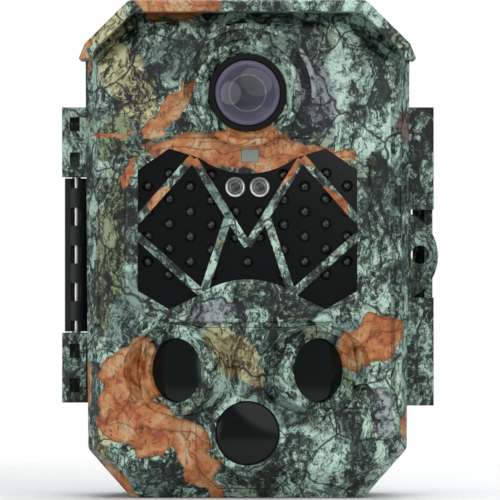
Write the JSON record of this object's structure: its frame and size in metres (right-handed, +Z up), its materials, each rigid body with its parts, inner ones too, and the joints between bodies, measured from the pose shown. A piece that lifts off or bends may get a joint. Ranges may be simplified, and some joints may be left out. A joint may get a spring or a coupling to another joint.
{
  "type": "trail camera",
  "caption": "Camouflaged clamshell trail camera with hooded lens, infrared flash behind crossed guard ribs, angled motion sensors, side latch and pin hinge",
  "frame": {"origin": "centre of the tripod socket in the flat bottom, on the standing face", "axes": "+Z up, -Y the way the lens looks, -X the hinge side, +X the latch side"},
  "size_m": [0.1055, 0.074, 0.138],
  "materials": {
    "camo": "satin printed bark and leaf pattern",
    "black_plastic": "fine moulded texture",
    "black_gloss": "polished",
    "sensor_window": "dark dyed, polished",
    "steel": "turned",
    "brass": "turned",
    "nickel": "plated spring strip",
    "glass": "coated, domed",
    "filter_glass": "thin coated",
    "led": "clear smoked resin",
    "clear_led": "clear resin",
    "board": "solder mask",
    "screen": "glazed",
    "key": "satin",
    "rubber": "matt",
    "grey_window": "smooth",
    "can": "pressed can",
    "cell": "plain sleeve over a metal can",
    "card": "satin"
  },
  "bodies": {
    "case": {"rear_housing": "camo", "seal_gasket": "rubber", "hinge_barrel": "black_plastic", "hinge_pin": "steel", "latch_pin": "steel", "battery_tray": "black_plastic", "contact_springs": "nickel", "contact_plates": "nickel", "tripod_insert": "brass", "power_inlet": "black_plastic", "inlet_contact": "nickel", "cell_1": "cell", "cell_2": "cell", "cell_3": "cell", "cell_4": "cell", "cell_5": "cell", "cell_6": "cell", "cell_7": "cell", "cell_8": "cell"},
    "front": {"camera_board": "board", "card_socket": "nickel", "cover_screws": "steel", "data_port": "nickel", "filter_guide": "black_plastic", "flash_panel": "black_gloss", "front_housing": "camo", "image_sensor": "screen", "indicator_leds": "clear_led", "infrared_leds": "led", "inner_cover": "black_plastic", "iris_ring": "black_plastic", "led_board": "board", "lens_barrel": "black_plastic", "lens_glass": "glass", "lens_inner": "glass", "lens_retainer": "black_plastic", "light_sensor": "grey_window", "main_board": "board", "microphone": "black_plastic", "motion_sensor_left": "can", "motion_sensor_middle": "can", "motion_sensor_right": "can", "motion_window_left": "sensor_window", "motion_window_middle": "sensor_window", "motion_window_right": "sensor_window", "screen": "screen", "sensor_board": "board", "sensor_plate": "camo", "speaker": "black_plastic"},
    "lever": {"latch_lever": "camo"},
    "filter": {"infrared_filter": "filter_glass"},
    "mode": {"mode_switch": "key"},
    "card": {"memory_card": "card"},
    "plug": {"inlet_plug": "rubber"},
    "key_down_body": {"key_down": "key"},
    "key_enter_body": {"key_enter": "key"},
    "key_left_body": {"key_left": "key"},
    "key_menu_body": {"key_menu": "key"},
    "key_right_body": {"key_right": "key"},
    "key_up_body": {"key_up": "key"}
  },
  "joints": [
    {"name": "case_hinge", "type": "hinge", "parent": "case", "child": "front", "pos_m": [-0.0483, -0.014, 0.0675], "axis": [0, 0, 1], "range_deg": [-110, 0]},
    {"name": "latch_swing", "type": "hinge", "parent": "case", "child": "lever", "pos_m": [0.0493, -0.004, 0.0671], "axis": [0, 0, 1], "range_deg": [0, 110]},
    {"name": "filter_slide", "type": "slide", "parent": "front", "child": "filter", "axis": [1, 0, 0], "range_m": [0, 0.009]},
    {"name": "mode_slide", "type": "slide", "parent": "front", "child": "mode", "axis": [1, 0, 0], "range_m": [-0.004, 0.004]},
    {"name": "card_slide", "type": "slide", "parent": "front", "child": "card", "axis": [0, 1, 0], "range_m": [0, 0.014]},
    {"name": "plug_pull", "type": "slide", "parent": "case", "child": "plug", "axis": [0, 0, -1], "range_m": [0, 0.008]},
    {"name": "key_down_press", "type": "slide", "parent": "front", "child": "key_down_body", "axis": [0, -1, 0], "range_m": [0, 0.0008], "stiffness_N_per_m": 300, "springref_m": -0.001},
    {"name": "key_enter_press", "type": "slide", "parent": "front", "child": "key_enter_body", "axis": [0, -1, 0], "range_m": [0, 0.0008], "stiffness_N_per_m": 300, "springref_m": -0.001},
    {"name": "key_left_press", "type": "slide", "parent": "front", "child": "key_left_body", "axis": [0, -1, 0], "range_m": [0, 0.0008], "stiffness_N_per_m": 300, "springref_m": -0.001},
    {"name": "key_menu_press", "type": "slide", "parent": "front", "child": "key_menu_body", "axis": [0, -1, 0], "range_m": [0, 0.0008], "stiffness_N_per_m": 300, "springref_m": -0.001},
    {"name": "key_right_press", "type": "slide", "parent": "front", "child": "key_right_body", "axis": [0, -1, 0], "range_m": [0, 0.0008], "stiffness_N_per_m": 300, "springref_m": -0.001},
    {"name": "key_up_press", "type": "slide", "parent": "front", "child": "key_up_body", "axis": [0, -1, 0], "range_m": [0, 0.0008], "stiffness_N_per_m": 300, "springref_m": -0.001}
  ]
}
